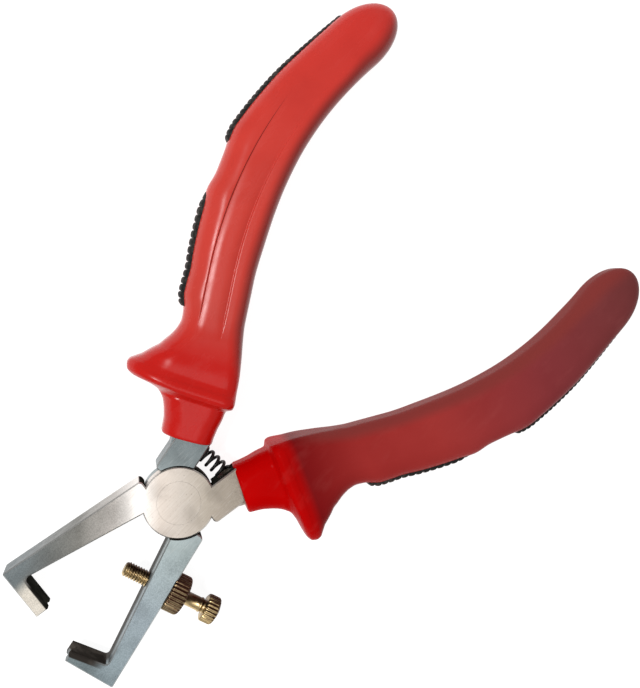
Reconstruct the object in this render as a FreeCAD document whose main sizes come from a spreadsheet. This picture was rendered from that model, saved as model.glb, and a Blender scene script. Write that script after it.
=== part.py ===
import FreeCAD, Part
import math
import os
from types import SimpleNamespace

import Sketcher
from FreeCAD import Placement, Rotation, Vector

# An end-type wire stripper with red grips, an adjusting screw and a return spring.
# Millimetres. The pivot is the Z axis, the jaws point along -Y and the handles along +Y,
# and the back of the head lies on Z = 0. Each jaw half is drawn with the tool shut and
# then turned to its place with the tool open.

DIMENSIONS = (
    # The head and its lap joint.
    ("head_thickness", 8.0),
    ("disc_radius", 8.7),
    ("disc_clearance", 0.3),
    ("lap_clearance", 0.06),
    ("open_angle", 20.0),
    ("rivet_radius", 3.0),
    ("rivet_head_radius", 5.2),
    ("rivet_head_depth", 1.6),
    ("rivet_clearance", 0.04),
    # The jaw arms and their blades.
    ("shoulder_drop", 3.9),
    ("arm_root_outer", 9.8),
    ("arm_root_inner", 2.4),
    ("arm_corner_outer", 11.5),
    ("arm_corner_inner", 7.55),
    ("front_reach", 38.6),
    ("front_blade_thickness", 3.2),
    ("blade_gap", 0.9),
    ("rear_blade_taper", 1.4),
    ("rear_blade_thickness", 2.6),
    ("blade_past_centre", 1.5),
    ("notch_depth", 1.4),
    ("corner_round", 1.0),
    ("edge_chamfer", 0.3),
    # The tangs and the cores that run on inside the grips.
    ("tang_inner", 1.5),
    ("tang_outer", 9.45),
    ("tang_start", 4.0),
    ("core_width", 7.0),
    ("core_thickness", 7.0),
    ("core_root", 3.0),
    ("core_turn", 22.0),
    ("core_clearance", 0.05),
    # The line that each handle follows, straight at first and then bent.
    ("mouth_x", 6.85),
    ("mouth_y", 13.5),
    ("lean", 22.2),
    ("straight_length", 40.3),
    ("bend_radius", 102.5),
    ("bend_angle", 40.0),
    # The grip sleeve, as half widths either side of that line, thickness and corner rounding.
    ("mouth_inner", 6.1),
    ("mouth_outer", 6.1),
    ("mouth_thickness", 12.6),
    ("mouth_round", 3.4),
    ("throat_along", 7.0),
    ("throat_inner", 7.7),
    ("throat_outer", 7.5),
    ("throat_thickness", 13.6),
    ("throat_round", 4.2),
    ("crest_along", 11.6),
    ("crest_width", 2.3),
    ("crest_inner", 9.25),
    ("crest_tilt", 7.0),
    ("crest_front_outer", 17.5),
    ("crest_back_outer", 16.9),
    ("crest_thickness", 17.4),
    ("crest_round", 5.0),
    ("shoulder_along", 20.5),
    ("shoulder_inner", 9.1),
    ("shoulder_outer", 11.2),
    ("shoulder_thickness", 14.2),
    ("shoulder_round", 4.8),
    ("waist_along", 28.0),
    ("waist_inner", 8.3),
    ("waist_outer", 6.9),
    ("grip_inner", 7.65),
    ("grip_outer", 7.3),
    ("grip_thickness", 13.0),
    ("grip_round", 4.6),
    ("swell_turn", 6.5),
    ("swell_inner", 7.95),
    ("swell_outer", 8.1),
    ("palm_turn", 19.5),
    ("palm_inner", 7.1),
    ("palm_outer", 8.8),
    ("heel_turn", 31.0),
    ("heel_inner", 7.25),
    ("heel_outer", 7.4),
    ("end_half_width", 6.1),
    ("end_thickness", 12.4),
    ("end_round", 4.4),
    ("panel_inner", 2.65),
    ("panel_outer", 3.1),
    ("panel_along", 25.5),
    ("panel_turn", 20.0),
    ("panel_depth", 0.45),
    # The ribbed inserts in the outer edge of each grip.
    ("insert_half_width", 2.8),
    ("insert_clearance", 0.05),
    ("insert_crown", 0.7),
    ("groove_depth", 0.7),
    ("groove_half_width", 0.45),
    ("lower_insert_along", 30.6),
    ("lower_insert_length", 27.0),
    ("lower_insert_floor", 5.3),
    ("lower_insert_top", 8.8),
    ("lower_insert_ribs", 14),
    ("upper_insert_shift", 1.4),
    ("upper_insert_drop", 10.2),
    ("upper_insert_floor", 12.1),
    ("upper_insert_top", 15.5),
    ("upper_insert_start", 20.6),
    ("upper_insert_sweep", 19.9),
    ("upper_insert_ribs", 27),
    # The return spring and its seats in the tangs.
    ("spring_y", 12.9),
    ("spring_radius", 2.15),
    ("spring_wire", 0.8),
    ("spring_turns", 4),
    ("spring_end_clearance", 0.15),
    ("spring_seat_radius", 2.45),
    ("spring_seat_depth", 0.8),
    # The adjusting screw and its lock nut.
    ("screw_drop", 19.5),
    ("thread_radius", 1.95),
    ("thread_clearance", 0.05),
    ("tip_out", 6.2),
    ("tip_chamfer", 0.6),
    ("nut_radius", 4.9),
    ("nut_thickness", 4.45),
    ("nut_seat_margin", 0.5),
    ("nut_seat_clearance", 0.02),
    ("nut_knurls", 30),
    ("neck_length", 5.4),
    ("screw_head_radius", 3.5),
    ("screw_head_length", 3.3),
    ("screw_head_dome", 0.6),
    ("screw_head_knurls", 22),
    ("knurl_depth", 0.3),
    ("brass_chamfer", 0.4),
)


class Size:
    """A value from the sheet, or worked out from the sheet, with the expression that gives it."""

    def __init__(self, value, text=None):
        self.value = float(value)
        self.text = text or "(%r)" % self.value

    def joined(self, sign, other, value):
        return Size(value, "(%s %s %s)" % (self.text, sign, other.text))

    def __add__(self, other):
        other = as_size(other)
        return self.joined("+", other, self.value + other.value)

    def __sub__(self, other):
        other = as_size(other)
        return self.joined("-", other, self.value - other.value)

    def __mul__(self, other):
        other = as_size(other)
        return self.joined("*", other, self.value * other.value)

    def __truediv__(self, other):
        other = as_size(other)
        return self.joined("/", other, self.value / other.value)

    def __neg__(self):
        return Size(-self.value, "(-1 * %s)" % self.text)


def as_size(value):
    return value if isinstance(value, Size) else Size(value)


def sine(angle):
    return Size(math.sin(math.radians(angle.value)), "sin(%s)" % angle.text)


def cosine(angle):
    return Size(math.cos(math.radians(angle.value)), "cos(%s)" % angle.text)


def tangent(angle):
    return Size(math.tan(math.radians(angle.value)), "tan(%s)" % angle.text)


def make_sheet(doc):
    """Writes the driving dimensions to the sheet and gives them back as sizes."""
    sheet = doc.addObject("Spreadsheet::Sheet", "Dimensions")
    sizes = SimpleNamespace()
    for row, (alias, value) in enumerate(DIMENSIONS, start=1):
        sheet.set("A%d" % row, alias)
        sheet.set("B%d" % row, str(value))
        sheet.setAlias("B%d" % row, alias)
        setattr(sizes, alias, Size(value, "Dimensions." + alias))
    doc.recompute()
    return sizes


def new_body(doc, label):
    body = doc.addObject("PartDesign::Body", label)
    body.Label = label
    return body


def new_sketch(body, name, plane, offset=(0, 0, 0), turn=None, axis=Vector(0, 0, 1)):
    """Starts a sketch on a plane of the body, moved and turned in that plane's own axes."""
    sketch = body.newObject("Sketcher::SketchObject", body.Label + "_" + name)
    support = next(item for item in body.Origin.OriginFeatures if item.Role == plane)
    sketch.AttachmentSupport = [(support, "")]
    sketch.MapMode = "FlatFace"
    offset = [as_size(value) for value in offset]
    angle = as_size(0) if turn is None else turn
    base = Vector(*[value.value for value in offset])
    sketch.AttachmentOffset = Placement(base, Rotation(axis, angle.value))
    for letter, value in zip("xyz", offset):
        if value.value:
            sketch.setExpression("AttachmentOffset.Base." + letter, value.text)
    if turn is not None:
        sketch.setExpression("AttachmentOffset.Rotation.Angle", turn.text)
    return sketch


def fix(sketch, constraint, size):
    index = sketch.addConstraint(constraint)
    sketch.setExpression("Constraints[%d]" % index, size.text)


def pin(sketch, curve, end, x=None, y=None):
    """Holds one end of a curve at a distance from the sketch origin."""
    for axis, kind, value in ((-2, "DistanceX", x), (-1, "DistanceY", y)):
        if value is None:
            continue
        value = as_size(value)
        if value.value == 0:
            sketch.addConstraint(Sketcher.Constraint("PointOnObject", curve, end, axis))
        elif value.value > 0:
            fix(sketch, Sketcher.Constraint(kind, -1, 1, curve, end, value.value), value)
        else:
            value = -value
            fix(sketch, Sketcher.Constraint(kind, curve, end, -1, 1, value.value), value)


def flat(x, y):
    return Vector(as_size(x).value, as_size(y).value, 0)


def polygon(sketch, corners):
    points = [flat(x, y) for x, y in corners]
    ends = points[1:] + points[:1]
    sketch.addGeometry([Part.LineSegment(a, b) for a, b in zip(points, ends)], False)
    for index, (x, y) in enumerate(corners):
        following = (index + 1) % len(corners)
        sketch.addConstraint(Sketcher.Constraint("Coincident", index, 2, following, 1))
        pin(sketch, index, 1, x, y)


def circle(sketch, x, y, radius):
    sketch.addGeometry(Part.Circle(flat(x, y), Vector(0, 0, 1), radius.value), False)
    pin(sketch, 0, 3, x, y)
    fix(sketch, Sketcher.Constraint("Radius", 0, radius.value), radius)


def arc(x, y, radius, start, stop):
    ring = Part.Circle(flat(x, y), Vector(0, 0, 1), radius.value)
    return Part.ArcOfCircle(ring, math.radians(start), math.radians(stop))


def rounded_section(sketch, inner, outer, thickness, radius):
    """A rectangle with four rounded corners, inner and outer being its reach either side."""
    half = thickness / 2
    left, right = -inner, outer
    low, high = -half, half
    sketch.addGeometry(
        [
            Part.LineSegment(flat(right, low + radius), flat(right, high - radius)),
            arc(right - radius, high - radius, radius, 0, 90),
            Part.LineSegment(flat(right - radius, high), flat(left + radius, high)),
            arc(left + radius, high - radius, radius, 90, 180),
            Part.LineSegment(flat(left, high - radius), flat(left, low + radius)),
            arc(left + radius, low + radius, radius, 180, 270),
            Part.LineSegment(flat(left + radius, low), flat(right - radius, low)),
            arc(right - radius, low + radius, radius, 270, 360),
        ],
        False,
    )
    for index in range(8):
        sketch.addConstraint(Sketcher.Constraint("Tangent", index, 2, (index + 1) % 8, 1))
    for line, kind in ((0, "Vertical"), (2, "Horizontal"), (4, "Vertical"), (6, "Horizontal")):
        sketch.addConstraint(Sketcher.Constraint(kind, line))
    for corner in (3, 5, 7):
        sketch.addConstraint(Sketcher.Constraint("Equal", 1, corner))
    fix(sketch, Sketcher.Constraint("Radius", 1, radius.value), radius)
    pin(sketch, 0, 1, x=right)
    pin(sketch, 4, 1, x=left)
    pin(sketch, 2, 1, y=high)
    pin(sketch, 6, 1, y=low)


def half_section(sketch, reach, thickness, radius):
    """The outer half of a rounded section, closed along its upright axis."""
    half = thickness / 2
    low, high = -half, half
    sketch.addGeometry(
        [
            Part.LineSegment(flat(0, low), flat(reach - radius, low)),
            arc(reach - radius, low + radius, radius, 270, 360),
            Part.LineSegment(flat(reach, low + radius), flat(reach, high - radius)),
            arc(reach - radius, high - radius, radius, 0, 90),
            Part.LineSegment(flat(reach - radius, high), flat(0, high)),
            Part.LineSegment(flat(0, high), flat(0, low)),
        ],
        False,
    )
    for index in range(4):
        sketch.addConstraint(Sketcher.Constraint("Tangent", index, 2, index + 1, 1))
    sketch.addConstraint(Sketcher.Constraint("Coincident", 4, 2, 5, 1))
    sketch.addConstraint(Sketcher.Constraint("Coincident", 5, 2, 0, 1))
    for line, kind in ((0, "Horizontal"), (2, "Vertical"), (4, "Horizontal")):
        sketch.addConstraint(Sketcher.Constraint(kind, line))
    sketch.addConstraint(Sketcher.Constraint("Equal", 1, 3))
    fix(sketch, Sketcher.Constraint("Radius", 1, radius.value), radius)
    pin(sketch, 0, 1, 0, low)
    pin(sketch, 4, 2, 0, high)
    pin(sketch, 2, 1, x=reach)


def bent_strip(sketch, d, left, right, start, turn):
    """A strip along the handle line: straight from start, then round the bend by turn."""
    radius, straight = d.bend_radius, d.straight_length
    outer, inner = radius + right, radius + left
    outer_high = straight + outer * sine(turn)
    inner_high = straight + inner * sine(turn)
    outer_arc = arc(-radius, straight, outer, 0, turn.value)
    inner_arc = arc(-radius, straight, inner, 0, turn.value)
    sketch.addGeometry(
        [
            Part.LineSegment(flat(right, start), flat(right, straight)),
            outer_arc,
            Part.LineSegment(outer_arc.EndPoint, inner_arc.EndPoint),
            inner_arc,
            Part.LineSegment(flat(left, straight), flat(left, start)),
            Part.LineSegment(flat(left, start), flat(right, start)),
        ],
        False,
    )
    joins = ((0, 2, 1, 1), (1, 2, 2, 1), (2, 2, 3, 2), (3, 1, 4, 1), (4, 2, 5, 1), (5, 2, 0, 1), (1, 3, 3, 3))
    for join in joins:
        sketch.addConstraint(Sketcher.Constraint("Coincident", *join))
    pin(sketch, 0, 1, right, start)
    pin(sketch, 0, 2, right, straight)
    pin(sketch, 4, 1, left, straight)
    pin(sketch, 4, 2, left, start)
    pin(sketch, 1, 3, -radius, straight)
    pin(sketch, 1, 2, y=outer_high)
    pin(sketch, 3, 2, y=inner_high)


def crowned_section(sketch, d, floor, top):
    """A strip's section: flat floor and sides, and a top that bulges by the crown."""
    half, crown = d.insert_half_width, d.insert_crown
    edge = top - crown
    radius = (half * half + crown * crown) / (crown * 2)
    swing = math.degrees(math.asin(half.value / radius.value))
    sketch.addGeometry(
        [
            Part.LineSegment(flat(floor, -half), flat(edge, -half)),
            arc(top - radius, 0, radius, -swing, swing),
            Part.LineSegment(flat(edge, half), flat(floor, half)),
            Part.LineSegment(flat(floor, half), flat(floor, -half)),
        ],
        False,
    )
    for index in range(4):
        sketch.addConstraint(Sketcher.Constraint("Coincident", index, 2, (index + 1) % 4, 1))
    pin(sketch, 0, 1, floor, -half)
    pin(sketch, 0, 2, edge, -half)
    pin(sketch, 2, 1, edge, half)
    pin(sketch, 2, 2, floor, half)
    fix(sketch, Sketcher.Constraint("Radius", 1, radius.value), radius)


def extrude(body, kind, name, sketch, length, both_ways=False, flip=False):
    """Pads or pockets a sketch. Padding follows the plane's normal and pocketing goes against it."""
    feature = body.newObject("PartDesign::" + kind, body.Label + "_" + name)
    feature.Profile = (sketch, [""])
    feature.SideType = "Symmetric" if both_ways else "One side"
    feature.Length = length.value
    feature.setExpression("Length", length.text)
    feature.Reversed = flip
    body.Document.recompute()
    return feature


def revolve(body, kind, name, sketch, axis, angle, flip=False):
    """Turns a sketch about one of its own axes to add or cut material."""
    feature = body.newObject("PartDesign::" + kind, body.Label + "_" + name)
    feature.Profile = (sketch, [""])
    feature.ReferenceAxis = (sketch, [axis])
    feature.Angle = angle.value
    feature.setExpression("Angle", angle.text)
    feature.Reversed = flip
    body.Document.recompute()
    return feature


def loft(body, name, sketches):
    feature = body.newObject("PartDesign::AdditiveLoft", body.Label + "_" + name)
    feature.Profile = (sketches[0], [""])
    feature.Sections = [(sketch, [""]) for sketch in sketches[1:]]
    body.Document.recompute()
    return feature


def repeat_round(body, name, original, sketch, angle, count):
    """Repeats a feature about its sketch's normal."""
    feature = body.newObject("PartDesign::PolarPattern", body.Label + "_" + name)
    feature.Originals = [original]
    feature.Axis = (sketch, ["N_Axis"])
    feature.Angle = angle.value
    feature.setExpression("Angle", angle.text)
    feature.setExpression("Occurrences", count.text)
    body.Tip = feature
    body.Document.recompute()


def dress(body, kind, name, edges, prop, size):
    """Rounds or chamfers the named edges of the body as it stands."""
    base = body.Tip
    feature = body.newObject("PartDesign::" + kind, body.Label + "_" + name)
    feature.Base = (base, edges)
    setattr(feature, prop, size.value)
    feature.setExpression(prop, size.text)
    body.Document.recompute()


def upright_edges(shape, spots):
    """Names of the edges that stand parallel to Z at the given places."""
    names = []
    for index, edge in enumerate(shape.Edges, start=1):
        for x, y in spots:
            near = [abs(v.X - x.value) < 0.01 and abs(v.Y - y.value) < 0.01 for v in edge.Vertexes]
            if len(near) == 2 and all(near):
                names.append("Edge%d" % index)
    return names


def rim_edges(d, shape):
    """Names of the outline edges of both head faces, apart from those that meet another piece."""
    half_head = d.head_thickness.value / 2
    lap_radius = d.disc_radius.value + d.disc_clearance.value
    mouth = Vector(d.mouth_x.value, d.mouth_y.value, 0)
    lean = math.radians(d.lean.value)
    along = Vector(math.sin(lean), math.cos(lean), 0)
    names = []
    for index, edge in enumerate(shape.Edges, start=1):
        ends = [vertex.Point for vertex in edge.Vertexes]
        on_face = len(ends) == 2 and all(abs(abs(end.z) - half_head) < 0.01 for end in ends)
        if not on_face:
            continue
        in_lap = all(abs(math.hypot(end.x, end.y) - lap_radius) < 0.01 for end in ends)
        at_mouth = all(abs((end - mouth).dot(along)) < 0.01 for end in ends)
        if not in_lap and not at_mouth:
            names.append("Edge%d" % index)
    return names


def handle_frame(d):
    return {"offset": (d.mouth_x, d.mouth_y, 0), "turn": -d.lean}


def make_half(doc, d, label, reach, tip_reach, back_reach):
    """One jaw half with its arm on the -X side and its tang on the +X side, tool shut."""
    body = new_body(doc, label)
    half_head = d.head_thickness / 2
    half_lap = d.lap_clearance / 2

    sketch = new_sketch(body, "disc_outline", "XY_Plane", (0, 0, half_lap))
    circle(sketch, 0, 0, d.disc_radius)
    extrude(body, "Pad", "disc", sketch, half_head - half_lap)

    sketch = new_sketch(body, "jaw_outline", "XY_Plane")
    shoulder = (-d.arm_root_outer, -d.shoulder_drop)
    inner_corner = (-d.arm_corner_inner, -reach)
    outline = [
        shoulder,
        (-d.arm_corner_outer, -back_reach),
        (d.blade_past_centre, -back_reach),
        (d.blade_past_centre, -tip_reach),
        inner_corner,
        (-d.arm_root_inner, -d.shoulder_drop),
    ]
    polygon(sketch, outline)
    extrude(body, "Pad", "jaw", sketch, d.head_thickness, both_ways=True)

    slope = tangent(d.lean)
    tang_corner = (d.tang_outer, d.tang_start)
    sketch = new_sketch(body, "tang_outline", "XY_Plane")
    outline = [
        (d.tang_inner, d.tang_start),
        tang_corner,
        (d.tang_outer, d.mouth_y - (d.tang_outer - d.mouth_x) * slope),
        (d.tang_inner, d.mouth_y + (d.mouth_x - d.tang_inner) * slope),
    ]
    polygon(sketch, outline)
    extrude(body, "Pad", "tang", sketch, d.head_thickness, both_ways=True)

    sketch = new_sketch(body, "core_outline", "XY_Plane", **handle_frame(d))
    bent_strip(sketch, d, -(d.core_width / 2), d.core_width / 2, -d.core_root, d.core_turn)
    extrude(body, "Pad", "core", sketch, d.core_thickness, both_ways=True)

    # The room that the other half's disc turns in.
    sketch = new_sketch(body, "lap_outline", "XY_Plane", (0, 0, half_lap))
    circle(sketch, 0, 0, d.disc_radius + d.disc_clearance)
    extrude(body, "Pocket", "lap", sketch, half_head + half_lap)

    corners = upright_edges(body.Shape, [shoulder, inner_corner, tang_corner])
    dress(body, "Fillet", "corner_rounds", corners, "Radius", d.corner_round)

    # The countersunk rivet hole.
    sketch = new_sketch(body, "rivet_hole_profile", "XZ_Plane")
    bore = d.rivet_radius + d.rivet_clearance
    mouth = d.rivet_head_radius + d.rivet_clearance
    outline = [
        (0, 0),
        (bore, 0),
        (bore, half_head - d.rivet_head_depth),
        (mouth, half_head),
        (mouth, half_head + 1),
        (0, half_head + 1),
    ]
    polygon(sketch, outline)
    revolve(body, "Groove", "rivet_hole", sketch, "V_Axis", Size(360))

    sketch = new_sketch(body, "spring_seat_outline", "YZ_Plane", (0, 0, d.tang_inner))
    circle(sketch, d.spring_y, 0, d.spring_seat_radius)
    extrude(body, "Pocket", "spring_seat", sketch, d.spring_seat_depth, flip=True)

    # The V notch that cuts the insulation.
    sketch = new_sketch(body, "notch_outline", "XZ_Plane", (0, 0, reach - 1))
    notch_mouth = d.blade_past_centre + 1
    notch_half = d.notch_depth + 1
    outline = [
        (d.blade_past_centre - d.notch_depth, 0),
        (notch_mouth, -notch_half),
        (notch_mouth, notch_half),
    ]
    polygon(sketch, outline)
    extrude(body, "Pocket", "notch", sketch, back_reach - reach + 2, flip=True)
    dress(body, "Chamfer", "rim_chamfers", rim_edges(d, body.Shape), "Size", d.edge_chamfer)
    return body


def splay(d, root, corner, far):
    """How fast one side of the arm leans outward on its way to the blade."""
    return (corner - root) / (far - d.shoulder_drop)


def arm_side(d, root, corner, far):
    """How far out one side of the arm stands at the height of the screw."""
    return root + splay(d, root, corner, far) * (d.screw_drop - d.shoulder_drop)


def drill_screw_hole(d, body, seat, tilt):
    """The hole of the adjusting screw, and the flat that its lock nut sits on."""
    station = {"offset": (-d.screw_drop, 0, -seat), "turn": -tilt, "axis": Vector(0, 1, 0)}
    sketch = new_sketch(body, "screw_hole_outline", "YZ_Plane", **station)
    circle(sketch, 0, 0, d.thread_radius + d.thread_clearance)
    extrude(body, "Pocket", "screw_hole", sketch, d.arm_corner_outer * 2, both_ways=True)
    sketch = new_sketch(body, "nut_seat_outline", "YZ_Plane", **station)
    circle(sketch, 0, 0, d.nut_radius + d.nut_seat_margin)
    extrude(body, "Pocket", "nut_seat", sketch, d.nut_thickness)


def make_rivet(doc, d):
    body = new_body(doc, "pivot_rivet")
    half = d.head_thickness / 2
    shank = half - d.rivet_head_depth
    sketch = new_sketch(body, "profile", "XZ_Plane")
    outline = [
        (0, -half),
        (d.rivet_head_radius, -half),
        (d.rivet_radius, -shank),
        (d.rivet_radius, shank),
        (d.rivet_head_radius, half),
        (0, half),
    ]
    polygon(sketch, outline)
    revolve(body, "Revolution", "turned", sketch, "V_Axis", Size(360))
    return body


def octagon(x, radius):
    """Eight corners on a circle about a point on the X axis."""
    corners = []
    for index in range(8):
        turn = Size(22.5 + 45 * index)
        corners.append((x + radius * cosine(turn), radius * sine(turn)))
    return corners


def make_spring(doc, d, length):
    """A compression spring standing on Z = 0, each half turn rising by half the pitch.

    Eight flats stand for the round of the wire, which keeps the coil light.
    """
    body = new_body(doc, "return_spring")
    wire = d.spring_wire / 2
    coil = d.spring_radius - wire
    pitch = (length - d.spring_wire) / d.spring_turns
    rise = pitch / (coil * 4)
    tilt = Size(math.degrees(math.atan(rise.value)), "atan(%s)" % rise.text)
    reach = coil / cosine(tilt)
    turns = []
    for name, height, lean, side in (
        ("first_half", wire + pitch / 4, -tilt, reach),
        ("second_half", wire + pitch * 3 / 4, tilt, -reach),
    ):
        sketch = new_sketch(body, name + "_outline", "XZ_Plane", (0, height, 0), lean)
        polygon(sketch, octagon(side, wire))
        turns.append(revolve(body, "Revolution", name, sketch, "V_Axis", Size(180)))
    feature = body.newObject("PartDesign::LinearPattern", "return_spring_coils")
    feature.Originals = turns
    upright = next(item for item in body.Origin.OriginFeatures if item.Role == "Z_Axis")
    feature.Direction = (upright, [""])
    feature.setExpression("Length", (pitch * (d.spring_turns - 1)).text)
    feature.setExpression("Occurrences", d.spring_turns.text)
    body.Tip = feature
    doc.recompute()
    return body


def knurl(d, body, start, length, radius, count):
    """Cuts straight V grooves along a turned piece whose axis is X."""
    sketch = new_sketch(body, "knurl_outline", "YZ_Plane", (0, 0, start))
    over = d.knurl_depth / 2
    outline = [
        (0, radius - d.knurl_depth),
        (d.knurl_depth + over, radius + over),
        (-(d.knurl_depth + over), radius + over),
    ]
    polygon(sketch, outline)
    groove = extrude(body, "Pocket", "knurl_groove", sketch, length, flip=True)
    repeat_round(body, "knurl", groove, sketch, Size(360), count)


def make_screw(doc, d, tip_length):
    """The adjusting screw, its axis along X and pointing outward from the arm's outer face."""
    body = new_body(doc, "adjusting_screw")
    radius, chamfer = d.thread_radius, d.brass_chamfer
    head = d.nut_seat_clearance + d.nut_thickness + d.neck_length
    end = head + d.screw_head_length
    sketch = new_sketch(body, "profile", "XY_Plane")
    outline = [
        (-tip_length, 0),
        (-tip_length, radius - d.tip_chamfer),
        (d.tip_chamfer - tip_length, radius),
        (head, radius),
        (head, d.screw_head_radius - chamfer),
        (head + chamfer, d.screw_head_radius),
        (end - chamfer, d.screw_head_radius),
        (end, d.screw_head_radius - chamfer),
        (end + d.screw_head_dome, 0),
    ]
    polygon(sketch, outline)
    revolve(body, "Revolution", "turned", sketch, "H_Axis", Size(360))
    knurl(d, body, head, d.screw_head_length, d.screw_head_radius, d.screw_head_knurls)
    return body


def make_nut(doc, d):
    body = new_body(doc, "lock_nut")
    bore = d.thread_radius + d.thread_clearance
    chamfer = d.brass_chamfer
    low = d.nut_seat_clearance
    high = low + d.nut_thickness
    sketch = new_sketch(body, "profile", "XY_Plane")
    outline = [
        (low, bore),
        (low, d.nut_radius - chamfer),
        (low + chamfer, d.nut_radius),
        (high - chamfer, d.nut_radius),
        (high, d.nut_radius - chamfer),
        (high, bore),
    ]
    polygon(sketch, outline)
    revolve(body, "Revolution", "turned", sketch, "H_Axis", Size(360))
    knurl(d, body, low, d.nut_thickness, d.nut_radius, d.nut_knurls)
    return body


def bend_station(d, turn):
    """Where a section stands on the bend, as a sketch on the XZ plane is moved and turned."""
    radius = d.bend_radius
    offset = (radius * cosine(turn) - radius, 0, -(d.straight_length + radius * sine(turn)))
    return {"offset": offset, "turn": turn, "axis": Vector(0, 1, 0)}


def straight_station(along, tilt=None):
    return {"offset": (0, 0, -along), "turn": tilt, "axis": Vector(0, 1, 0)}


def upper_insert_centre(d):
    """The point that the upper insert curves about, near the centre of the handle's bend."""
    return -(d.bend_radius + d.upper_insert_shift), d.straight_length - d.upper_insert_drop


def make_sleeve(doc, d, label):
    """A grip sleeve along Y from its mouth, with its finger guard on the +X side."""
    body = new_body(doc, label)
    crest_back = d.crest_along + d.crest_width
    thickness, rounding = d.grip_thickness, d.grip_round
    sections = {
        "mouth": (
            straight_station(as_size(0)),
            (d.mouth_inner, d.mouth_outer, d.mouth_thickness, d.mouth_round),
        ),
        "throat": (
            straight_station(d.throat_along),
            (d.throat_inner, d.throat_outer, d.throat_thickness, d.throat_round),
        ),
        "crest_front": (
            straight_station(d.crest_along, d.crest_tilt),
            (d.crest_inner, d.crest_front_outer, d.crest_thickness, d.crest_round),
        ),
        "crest_back": (
            straight_station(crest_back, d.crest_tilt),
            (d.crest_inner, d.crest_back_outer, d.crest_thickness, d.crest_round),
        ),
        "shoulder": (
            straight_station(d.shoulder_along),
            (d.shoulder_inner, d.shoulder_outer, d.shoulder_thickness, d.shoulder_round),
        ),
        "waist": (straight_station(d.waist_along), (d.waist_inner, d.waist_outer, thickness, rounding)),
        "grip": (straight_station(d.straight_length), (d.grip_inner, d.grip_outer, thickness, rounding)),
        "swell": (bend_station(d, d.swell_turn), (d.swell_inner, d.swell_outer, thickness, rounding)),
        "palm": (bend_station(d, d.palm_turn), (d.palm_inner, d.palm_outer, thickness, rounding)),
        "heel": (bend_station(d, d.heel_turn), (d.heel_inner, d.heel_outer, thickness, rounding)),
        "end": (
            bend_station(d, d.bend_angle),
            (d.end_half_width, d.end_half_width, d.end_thickness, d.end_round),
        ),
    }
    sketches = {}
    for name, (station, shape) in sections.items():
        sketches[name] = new_sketch(body, name + "_section", "XZ_Plane", **station)
        rounded_section(sketches[name], *shape)
    doc.recompute()

    runs = (
        ("neck", ("mouth", "throat", "crest_front")),
        ("crest", ("crest_front", "crest_back")),
        ("guard", ("crest_back", "shoulder", "waist")),
        ("grip", ("waist", "grip", "swell", "palm", "heel", "end")),
    )
    for name, stations in runs:
        loft(body, name, [sketches[station] for station in stations])

    sketch = new_sketch(body, "cap_profile", "XZ_Plane", **bend_station(d, d.bend_angle))
    half_section(sketch, d.end_half_width, d.end_thickness, d.end_round)
    revolve(body, "Revolution", "cap", sketch, "V_Axis", Size(180))

    # The cavity for the steel core.
    room = d.core_width / 2 + d.core_clearance
    slack = Size(math.degrees(d.core_clearance.value / d.bend_radius.value))
    sketch = new_sketch(body, "cavity_outline", "XY_Plane")
    bent_strip(sketch, d, -room, room, -d.core_root, d.core_turn + slack)
    cavity_thickness = d.core_thickness + d.core_clearance * 2
    extrude(body, "Pocket", "cavity", sketch, cavity_thickness, both_ways=True)

    # The seats of the two inserts.
    clearance = d.insert_clearance
    half = d.insert_half_width + clearance
    low = d.lower_insert_floor - clearance
    high = d.lower_insert_top + d.insert_crown
    sketch = new_sketch(body, "lower_seat_section", "XZ_Plane", (0, 0, clearance - d.lower_insert_along))
    polygon(sketch, [(low, -half), (high, -half), (high, half), (low, half)])
    extrude(body, "Pocket", "lower_seat", sketch, d.lower_insert_length + clearance * 2)

    x, y = upper_insert_centre(d)
    low = d.bend_radius + d.upper_insert_floor - clearance
    high = d.bend_radius + d.upper_insert_top + d.insert_crown
    slack = Size(math.degrees(clearance.value / low.value))
    start = d.upper_insert_start - slack
    sketch = new_sketch(body, "upper_seat_section", "XZ_Plane", (x, 0, -y), start, Vector(0, 1, 0))
    polygon(sketch, [(low, -half), (high, -half), (high, half), (low, half)])
    revolve(body, "Groove", "upper_seat", sketch, "V_Axis", d.upper_insert_sweep + slack * 2)

    # The sunk panel along one face.
    sketch = new_sketch(body, "panel_outline", "XY_Plane", (0, 0, d.panel_depth - thickness / 2))
    bent_strip(sketch, d, -d.panel_inner, d.panel_outer, d.panel_along, d.panel_turn)
    extrude(body, "Pocket", "panel", sketch, d.mouth_thickness)
    return body


def groove_corners(d, bottom):
    """A V groove across a strip, its mouth standing clear above the strip's top."""
    mouth = bottom + d.groove_depth * 2
    spread = d.groove_half_width * 2
    return [(bottom, 0), (mouth, -spread), (mouth, spread)]


def make_lower_insert(doc, d, label):
    body = new_body(doc, label)
    sketch = new_sketch(body, "strip_section", "XZ_Plane", (0, 0, -d.lower_insert_along))
    crowned_section(sketch, d, d.lower_insert_floor, d.lower_insert_top)
    extrude(body, "Pad", "strip", sketch, d.lower_insert_length, flip=True)

    pitch = d.lower_insert_length / d.lower_insert_ribs
    sketch = new_sketch(body, "groove_outline", "XY_Plane", (0, d.lower_insert_along + pitch, 0))
    polygon(sketch, groove_corners(d, d.lower_insert_top - d.groove_depth))
    groove = extrude(body, "Pocket", "groove", sketch, d.insert_half_width * 3, both_ways=True)
    feature = body.newObject("PartDesign::LinearPattern", label + "_grooves")
    feature.Originals = [groove]
    feature.Direction = (sketch, ["V_Axis"])
    feature.setExpression("Length", (d.lower_insert_length - pitch * 2).text)
    feature.setExpression("Occurrences", (d.lower_insert_ribs - 1).text)
    body.Tip = feature
    doc.recompute()
    return body


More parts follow.
